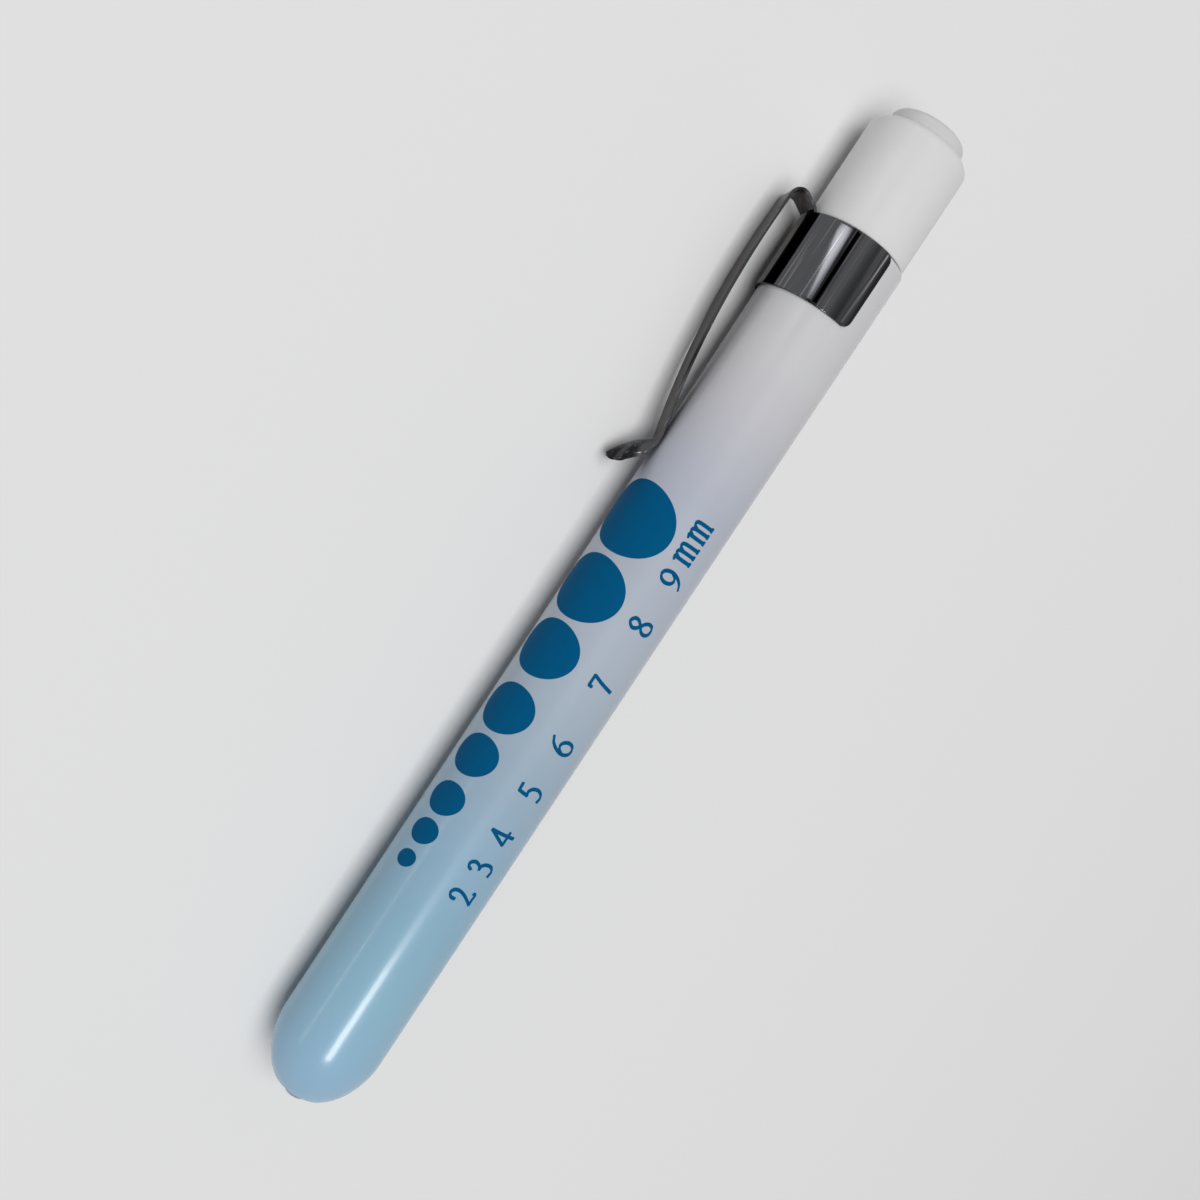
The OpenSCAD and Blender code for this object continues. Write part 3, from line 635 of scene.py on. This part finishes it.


# the colour follows the station along the tube, grey enamel turning to a painted bluish reflection at the
# nose, swayed a little by soft clouds; the relief is orange peel
def enamelFinish(f):
    material, tree, shader, place = newMaterial("stoveEnamelBlueReflection")
    axis = addNode(tree, "ShaderNodeSeparateXYZ", {0: place})
    cloud = addNode(tree, "ShaderNodeTexNoise",
                    {"Vector": place, "Scale": 1 / (f["cloud"] * mm), "Detail": 2.0})
    sway = addNode(tree, "ShaderNodeMapRange",
                   {0: cloud.outputs[0], 3: -f["sway"] * mm, 4: f["sway"] * mm})
    along = addNode(tree, "ShaderNodeMath", {0: axis.outputs[0], 1: sway.outputs[0]}, operation="ADD")
    (low, lowCode), (high, highCode) = f["tones"][0], f["tones"][-1]
    share = addNode(tree, "ShaderNodeMapRange", {
        0: along.outputs[0], 1: pen["seamX"] + low * mm, 2: pen["seamX"] + high * mm})
    ramp = addNode(tree, "ShaderNodeValToRGB", {0: share.outputs[0]})
    stops = ramp.color_ramp.elements
    for z, code in f["tones"][1:-1]:
        stops.new((z - low) / (high - low)).color = hexColour(code)
    stops[0].color, stops[-1].color = hexColour(lowCode), hexColour(highCode)
    wander = addNode(tree, "ShaderNodeMapRange", {0: cloud.outputs[0], 3: f["rough"][0], 4: f["rough"][1]})
    peel = addNode(tree, "ShaderNodeTexNoise",
                   {"Vector": place, "Scale": 1 / (f["peel"] * mm), "Detail": 2.0})
    relief = addNode(tree, "ShaderNodeBump",
                     {"Strength": f["bump"], "Distance": f["relief"] * mm, "Height": peel.outputs[0]})
    linkFinish(tree, shader, ramp.outputs[0], wander.outputs[0], relief.outputs[0])
    setShader(shader, Specular_IOR_Level=0.4, Coat_Weight=0.12, Coat_Roughness=0.08)
    return material


# black nickel on spring steel: a dark mirror with faint lines along the strip, partly its drawn grain and
# partly painted reflection streaks
nickelForm = {
    "dark": "#2a2a2d", "pale": "#58595c", "line": "#8c898c", "sheen": "#dcd8d5",
    "broad": 1.5, "fine": 0.35, "drawn": 0.02, "relief": 0.01, "bump": 0.03, "rough": (0.04, 0.1),
    "shadeFrom": (0.36, 0.56), "lineFrom": (0.58, 0.72), "lineShare": 0.7,
}


# its streaks run along the pen, broad dark ones and fine pale ones: partly the grain of the drawn strip,
# partly painted reflection streaks
def nickelFinish(f):
    material, tree, shader, place = newMaterial("blackNickelAndPaintedStreaks")
    drawn = addNode(tree, "ShaderNodeMapping", {"Vector": place, "Scale": (f["drawn"], 1, 1)})
    broad = addNode(tree, "ShaderNodeTexNoise",
                    {"Vector": drawn.outputs[0], "Scale": 1 / (f["broad"] * mm), "Detail": 1.0})
    fine = addNode(tree, "ShaderNodeTexNoise",
                   {"Vector": drawn.outputs[0], "Scale": 1 / (f["fine"] * mm), "Detail": 2.0})
    shade = addNode(tree, "ShaderNodeMapRange",
                    {0: broad.outputs[0], 1: f["shadeFrom"][0], 2: f["shadeFrom"][1]})
    line = addNode(tree, "ShaderNodeMapRange",
                   {0: fine.outputs[0], 1: f["lineFrom"][0], 2: f["lineFrom"][1], 4: f["lineShare"]})
    base = addNode(tree, "ShaderNodeMix",
                   {0: shade.outputs[0], 6: hexColour(f["dark"]), 7: hexColour(f["pale"])},
                   data_type="RGBA")
    tone = addNode(tree, "ShaderNodeMix",
                   {0: line.outputs[0], 6: base.outputs[2], 7: hexColour(f["line"])}, data_type="RGBA")
    wander = addNode(tree, "ShaderNodeMapRange", {0: fine.outputs[0], 3: f["rough"][0], 4: f["rough"][1]})
    relief = addNode(tree, "ShaderNodeBump",
                     {"Strength": f["bump"], "Distance": f["relief"] * mm, "Height": fine.outputs[0]})
    linkFinish(tree, shader, tone.outputs[2], wander.outputs[0], relief.outputs[0])
    setShader(shader, Metallic=1.0, Specular_Tint=hexColour(f["sheen"]))
    return material


enamelAndBlueReflection = enamelFinish(enamelForm)
# screen-printing ink: flat, dense and a little less glossy than the enamel
ink = mottledFinish("screenInk", ("#004e77", "#00527d"), 1.5, (0.5, 0.6), 0.05, Specular_IOR_Level=0.04)
# moulded ABS: pale and smooth, with the faint cloud of the mould face
capPlastic = mottledFinish("mouldedAbs", ("#cbcbcb", "#cfcfcf"), 3.0, (0.3, 0.38), 0.04, IOR=1.53)
# moulded ABS of the button: its grey, darker than the cap's, is painted shade
buttonPlasticPaintedShade = mottledFinish("buttonAbsPaintedShade", ("#bebebe", "#c4c4c4"), 2.0, (0.34, 0.42), 0.05, IOR=1.53)
clipMetalAndPaintedStreaks = nickelFinish(nickelForm)
# cast epoxy: clear, with a trace of haze
epoxy = mottledFinish("castEpoxy", ("#f2f6f8", "#f8fafb"), 2.0, (0.02, 0.05), 0.02,
                      Transmission_Weight=1.0, IOR=1.54)
# tinned copper: dull silver
tinned = mottledFinish("tinnedCopper", ("#b4b6b8", "#c6c8ca"), 0.8, (0.25, 0.4), 0.1, Metallic=1.0)
# moulded nylon: milky and matt
nylon = mottledFinish("mouldedNylon", ("#e4e3dc", "#edece6"), 1.5, (0.45, 0.55), 0.1)
# turned brass: yellow, with fine rings from the tool
brass = mottledFinish("turnedBrass", ("#b08a45", "#c9a45c"), 0.4, (0.22, 0.36), 0.12, stretch=(6, 1, 1),
                      Metallic=1.0)
# nickel-plated steel of the cells: a cool, even shine
cellSteel = mottledFinish("nickelPlate", ("#a9abad", "#bfc1c3"), 1.2, (0.2, 0.34), 0.08, Metallic=1.0)
# pressed powder inside the cells: dull, dark and grainy
powder = mottledFinish("pressedPowder", ("#35363a", "#45464a"), 0.6, (0.8, 0.95), 0.4)
# shrunk film round the cells: dark blue and glossy
film = mottledFinish("shrunkFilm", ("#37486a", "#40527a"), 4.0, (0.22, 0.32), 0.05, IOR=1.5)
# black nylon of the seals and the bush: matt
blackNylon = mottledFinish("blackNylon", ("#1e1f21", "#2a2b2e"), 1.0, (0.45, 0.6), 0.15)
# drawn spring wire: bright, with a fine grain
wire = mottledFinish("springWire", ("#a3a6aa", "#c4c7ca"), 0.3, (0.18, 0.32), 0.1, Metallic=1.0)

brassNodes = ("earth_washer", "front_contact", "tail_core", "contact_stud", "contact_pin")
wireNodes = ("battery_spring", "return_spring", "snap_ring", "pin_clip")
dress(enamelAndBlueReflection, barrelShell, solids["barrel"])
dress(ink, scaleDots, scaleNumbers)
dress(capPlastic, tailShell, solids["tail_cap"])
dress(buttonPlasticPaintedShade, pushButton, solids["push_button"])
dress(clipMetalAndPaintedStreaks, clipBand, clipArm, solids["pocket_clip"])
dress(epoxy, ledLens, solids["led_body"])
dress(tinned, solids["led_anode"], solids["led_cathode"])
dress(nylon, solids["led_holder"])
dress(brass, tailCore, *[solids[n] for n in brassNodes])
dress(wire, batteryCoil, returnCoil, *[solids[n] for n in wireNodes])
dress(blackNylon, solids["switch_bush"])
for cell in ("front_cell", "rear_cell"):
    dress(cellSteel, solids[cell + "_can"], solids[cell + "_nub"])
    dress(powder, solids[cell + "_core"])
    dress(film, solids[cell + "_jacket"])
    dress(blackNylon, solids[cell + "_seal"])
print("materials set")

# floor, light and camera

floorForm = {
    "half": 3000.0, "tones": ("#dbdbdb", "#dcdcdc"), "cloud": 166.7, "fadeFrom": 300.0, "fadeTo": 800.0,
}
studio = {"backdrop": 0.716, "fill": 0.28}  # strength of the world as seen, and as a light
cameraForm = {
    "turn": pen["clipTurn"] - 78, "tilt": -1.4, "away": 150.0, "aimZ": 50.3, "aimSide": -1.95,
    "lens": 38.3, "sensor": 36.0, "clipStart": 5.0,
    "imageAxis": (0.5518, 0.8340),  # the way from nose to tail in the picture
}

# lamps and cards: turns from the camera's side, places and sizes in millimetres, power in watts
softBoxes = {
    "keyBox": {"turn": -24, "away": 2000, "z": 60, "size": (1900, 1150), "power": 37.2, "aimZ": 50,
               "glossy": False},
    "noseBox": {"turn": -19, "away": 300, "z": 238, "size": (64, 62), "power": 0.28, "aimZ": 106,
                "diffuse": False},
    "horizonBox": {"turn": 47, "away": 300, "z": 195, "size": (150, 8), "power": 0.03, "aimZ": 95,
                   "diffuse": False},
}
studioCards = {
    "streakCard": {"stations": (-93, -67), "first": (45, 19), "last": (20, 12), "strength": 5.5},
    "tipCard": {"stations": (-300, -240), "first": (30, 18), "last": (30, 18), "strength": 9.0},
    "rightFlag": {"stations": (-104, -56), "first": (11, 3), "last": (8, 0), "strength": 0.0},
    "edgeCard": {"stations": (-104, -56), "first": (-67, -63), "last": (-58, -54), "strength": 2.2},
}


# one wide quad whose finish fades to clear with the distance from the middle, so no horizon shows
def buildFloor(f):
    half = f["half"] * mm
    mesh = bpy.data.meshes.new("floor")
    corners = [(-half, -half, 0), (half, -half, 0), (half, half, 0), (-half, half, 0)]
    mesh.from_pydata(corners, [], [(0, 1, 2, 3)])
    floor = bpy.data.objects.new("floor", mesh)
    bpy.context.scene.collection.objects.link(floor)
    material, tree, shader, place = newMaterial("paleFloor")
    noise = addNode(tree, "ShaderNodeTexNoise", {"Vector": place, "Scale": 1 / (f["cloud"] * mm)})
    tint = addNode(tree, "ShaderNodeMix",
                   {0: noise.outputs[0], 6: hexColour(f["tones"][0]), 7: hexColour(f["tones"][1])},
                   data_type="RGBA")
    away = addNode(tree, "ShaderNodeVectorMath", {0: place}, operation="LENGTH")
    fade = addNode(tree, "ShaderNodeMapRange",
                   {0: away.outputs["Value"], 1: f["fadeFrom"] * mm, 2: f["fadeTo"] * mm, 3: 1.0, 4: 0.0},
                   interpolation_type="SMOOTHSTEP")
    tree.links.new(tint.outputs[2], shader.inputs["Base Color"])
    tree.links.new(fade.outputs[0], shader.inputs["Alpha"])
    setShader(shader, Roughness=0.9, Specular_IOR_Level=0.1)
    dress(material, floor)


# a white world: the camera, metal and glass see the backdrop, and everything else gets the dimmer fill
def buildWorld(f):
    world = bpy.data.worlds.new("studio")
    bpy.context.scene.world = world
    world.use_nodes = True
    tree = world.node_tree
    tree.nodes.clear()
    ray = addNode(tree, "ShaderNodeLightPath")
    glossy = addNode(tree, "ShaderNodeMath",
                     {0: ray.outputs["Is Camera Ray"], 1: ray.outputs["Is Glossy Ray"]},
                     operation="MAXIMUM")
    shown = addNode(tree, "ShaderNodeMath",
                    {0: glossy.outputs[0], 1: ray.outputs["Is Transmission Ray"]}, operation="MAXIMUM")
    strength = addNode(tree, "ShaderNodeMapRange", {0: shown.outputs[0], 3: f["fill"], 4: f["backdrop"]})
    light = addNode(tree, "ShaderNodeBackground", {"Color": (1, 1, 1, 1), "Strength": strength.outputs[0]})
    addNode(tree, "ShaderNodeOutputWorld", {"Surface": light.outputs[0]})


# a soft box: an area lamp aimed at a point on the pen's axis, with its long side along the pen
def softBox(name, turn, away, z, size, power, aimZ, glossy=True, diffuse=True):
    lamp = bpy.data.lights.new(name, "AREA")
    lamp.shape = "RECTANGLE"
    lamp.size, lamp.size_y = size[0] * mm, size[1] * mm
    lamp.energy = power
    box = bpy.data.objects.new(name, lamp)
    bpy.context.scene.collection.objects.link(box)
    place = Vector(penPoint(away, cameraForm["turn"] + turn, z))
    back = (place - Vector(penPoint(0, 0, aimZ))).normalized()
    tailward = Vector((-1, 0, 0))
    long = (tailward - back * tailward.dot(back)).normalized()
    facing = Matrix((long, back.cross(long), back)).transposed().to_4x4()
    box.matrix_world = Matrix.Translation(place) @ facing
    box.visible_glossy, box.visible_diffuse = glossy, diffuse


# a studio card that only reflections show: a quad between two stations along the pen, which spans two
# turns at the first and two at the last; at strength 0 it is a black flag
def studioCard(name, stations, first, last, strength, away=300):
    turn = cameraForm["turn"] + np.array([*first, *last[::-1]])
    mesh = bpy.data.meshes.new(name)
    mesh.from_pydata(penPoint(away, turn, np.repeat(stations, 2)).tolist(), [], [(0, 1, 2, 3)])
    card = bpy.data.objects.new(name, mesh)
    bpy.context.scene.collection.objects.link(card)
    material, _, shader, _ = newMaterial(name)
    setShader(shader, Base_Color=(0, 0, 0, 1), Specular_IOR_Level=0.0, Emission_Color=(1, 1, 1, 1),
              Emission_Strength=strength)
    dress(material, card)
    card.visible_camera = card.visible_diffuse = card.visible_transmission = card.visible_shadow = False


# the camera looks square at the pen's side, tilted a little, and rolls until the pen's axis lies along
# imageAxis in the picture
def buildCamera(f):
    a = math.radians(f["turn"])
    tilt = math.radians(f["tilt"])
    nose = Vector((1, 0, 0))
    square = Vector((0, -math.sin(a), math.cos(a)))
    across = Vector((0, math.cos(a), math.sin(a)))
    back = (square * math.cos(tilt) + nose * math.sin(tilt)).normalized()
    axis = (nose - back * nose.dot(back)).normalized()
    ux, uy = f["imageAxis"]
    right = -ux * axis + uy * across
    up = -uy * axis - ux * across
    aim = Vector(penPoint(0, 0, f["aimZ"])) + across * f["aimSide"] * mm
    camera = bpy.data.cameras.new("camera")
    camera.lens = f["lens"]
    camera.sensor_width = f["sensor"]
    camera.clip_start = f["clipStart"] * mm
    holder = bpy.data.objects.new("camera", camera)
    bpy.context.scene.collection.objects.link(holder)
    roll = Matrix((right, up, back)).transposed().to_4x4()
    holder.matrix_world = Matrix.Translation(aim + back * f["away"] * mm) @ roll
    bpy.context.scene.camera = holder


buildFloor(floorForm)
buildWorld(studio)
for name, values in softBoxes.items():
    softBox(name, **values)
for name, values in studioCards.items():
    studioCard(name, **values)
buildCamera(cameraForm)
bpy.context.scene.view_settings.view_transform = "Standard"
print("studio lit")
